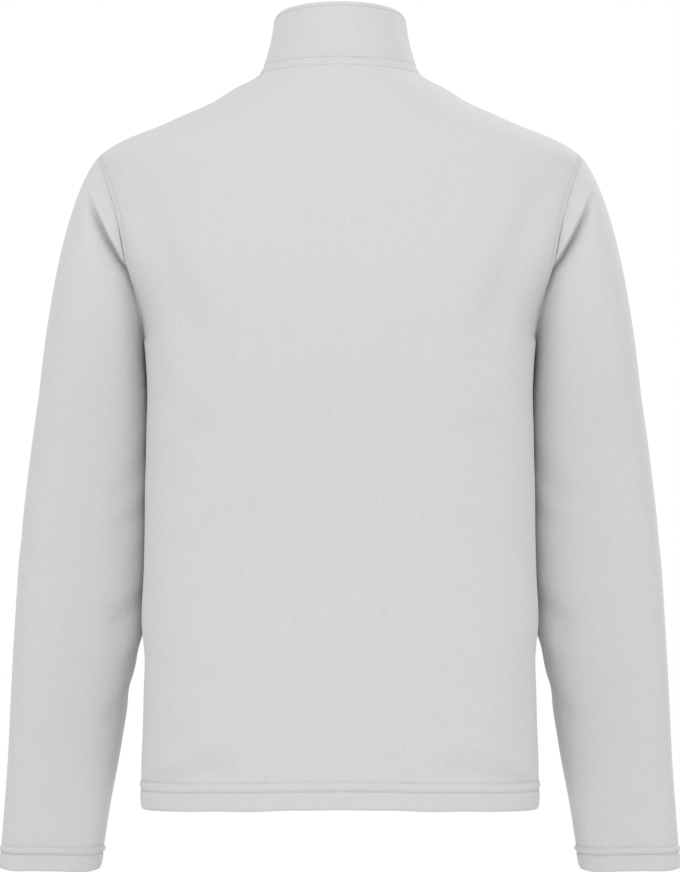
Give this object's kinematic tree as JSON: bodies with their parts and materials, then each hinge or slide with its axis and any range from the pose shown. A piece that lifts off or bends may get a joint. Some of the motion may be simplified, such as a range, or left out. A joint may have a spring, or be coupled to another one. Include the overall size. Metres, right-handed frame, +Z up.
{
  "type": "fleece zip jacket",
  "caption": "Plain light grey fleece jacket with a stand collar, full length zip, set-in sleeves and turned hem and cuffs, filled out.",
  "frame": {"origin": "middle of the neck opening, level with the foot of the collar at the shoulders, where the wearer's neck and shoulders hold the jacket", "axes": "+Z up along the body, -Y to the front, where the zip is, +X to the wearer's left"},
  "size_m": [0.654, 0.2551, 0.8241],
  "materials": {
    "fleece": "matt brushed fleece",
    "fleece_collar": "matt brushed fleece, cut double",
    "zip_tape": "woven tape",
    "zip_nylon": "satin nylon coil",
    "zip_metal": "satin painted die casting"
  },
  "bodies": {
    "jacket": {"back": "fleece", "front_left": "fleece", "front_right": "fleece", "sleeve_left": "fleece", "sleeve_right": "fleece", "collar": "fleece_collar", "zip_tape_left": "zip_tape", "zip_tape_right": "zip_tape", "zip_chain": "zip_nylon", "zip_box": "zip_nylon", "zip_slider": "zip_metal"},
    "pull": {"zip_pull": "zip_metal"}
  },
  "joints": [
    {"name": "pull_tab", "type": "hinge", "parent": "jacket", "child": "pull", "pos_m": [0, -0.07505, -0.01543], "axis": [-1, 0, 0], "range_deg": [0, 170]}
  ]
}
